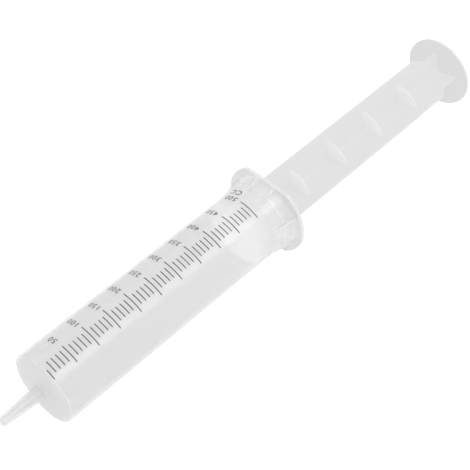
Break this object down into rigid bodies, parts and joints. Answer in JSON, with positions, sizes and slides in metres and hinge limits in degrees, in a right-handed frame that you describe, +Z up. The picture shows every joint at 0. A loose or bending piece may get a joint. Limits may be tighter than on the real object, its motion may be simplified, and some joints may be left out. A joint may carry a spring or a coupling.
{
  "type": "syringe",
  "caption": "Large plastic hand syringe with catheter nozzle, two-wing finger flange, sliding rubber stopper and cross-ribbed plunger rod with a round thumb disc",
  "frame": {"origin": "Under the middle of the whole length, on the surface that the finger flange's lower flat rests on", "axes": "+X along the barrel from the nozzle to the thumb disc, +Y across the two finger wings, +Z up, square to the two flats of the flange. Metres in the library, millimetres in the source."},
  "size_m": [0.491, 0.077, 0.0646],
  "materials": {
    "barrel_plastic": "moulded, satin",
    "piston_rubber": "milky, satin",
    "rod_plastic": "moulded, satin",
    "scale_ink": "printed black"
  },
  "bodies": {
    "barrel": {"barrel": "barrel_plastic"},
    "stopper": {"piston": "piston_rubber"},
    "plunger": {"plunger_rod": "rod_plastic"}
  },
  "joints": [
    {"name": "plunge", "type": "slide", "parent": "barrel", "child": "stopper", "axis": [1, 0, 0], "range_m": [-0.19593, 0.008]},
    {"name": "rod_spin", "type": "hinge", "parent": "stopper", "child": "plunger", "pos_m": [0, 0, 0.0323], "axis": [1, 0, 0], "continuous": true}
  ]
}
